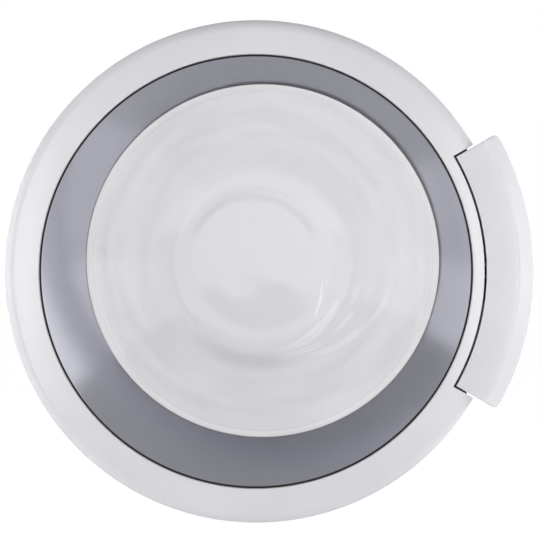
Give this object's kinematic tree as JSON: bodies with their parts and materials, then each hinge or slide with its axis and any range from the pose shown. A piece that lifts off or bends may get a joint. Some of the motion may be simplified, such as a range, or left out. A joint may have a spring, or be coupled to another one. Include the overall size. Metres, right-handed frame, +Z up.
{
  "type": "washing machine door",
  "caption": "Round porthole door of a front-loading washing machine: white ring, grey bezel, pressed glass bowl, pull handle that draws the latch hook, and a side hinge.",
  "frame": {"origin": "middle of the hinge plate's two screw holes, on the cabinet's front face", "axes": "+Y into the cabinet, +X from the hinge towards the handle, +Z up; the door is closed"},
  "size_m": [0.474, 0.138, 0.45],
  "materials": {
    "white_plastic": "smooth gloss",
    "grey_plastic": "smooth gloss",
    "glass": "pressed, polished",
    "dark_plastic": "moulded",
    "bush_plastic": "moulded",
    "cast_metal": "die-cast",
    "steel": "zinc plated"
  },
  "bodies": {
    "hinge": {"hinge_bracket": "cast_metal", "hinge_pin": "steel"},
    "door": {"front_frame": "white_plastic", "bezel_ring": "grey_plastic", "glass_bowl": "glass", "rear_frame": "white_plastic", "frame_screws": "steel", "hinge_leaf": "cast_metal", "hinge_bush_upper": "bush_plastic", "hinge_bush_lower": "bush_plastic", "hinge_leaf_screws": "steel", "latch_carrier": "dark_plastic", "carrier_screws": "steel", "handle_pin": "steel", "latch_pin": "steel", "handle_spring": "steel", "latch_spring": "steel"},
    "handle": {"handle_grip": "white_plastic", "handle_lever": "dark_plastic", "handle_screws": "steel"},
    "latch": {"latch_hook": "cast_metal"}
  },
  "joints": [
    {"name": "door_swing", "type": "hinge", "parent": "hinge", "child": "door", "pos_m": [-0.015, -0.027, 0], "axis": [0, 0, -1], "range_deg": [0, 160]},
    {"name": "handle_pull", "type": "hinge", "parent": "door", "child": "handle", "pos_m": [0.3948, -0.0444, 0], "axis": [0, 0, -1], "range_deg": [0, 12], "stiffness_Nm_per_rad": 1.5, "springref_deg": -11.46, "deforming": ["handle_spring"]},
    {"name": "latch_release", "type": "hinge", "parent": "door", "child": "latch", "pos_m": [0.4005, -0.018, 0], "axis": [0, 0, -1], "range_deg": [-15.6, 0], "stiffness_Nm_per_rad": 0.4, "springref_deg": 11.46, "deforming": ["latch_spring"]}
  ],
  "couplings": [
    {"joint": "latch_release", "follows": "handle_pull", "ratio": -1.3}
  ]
}
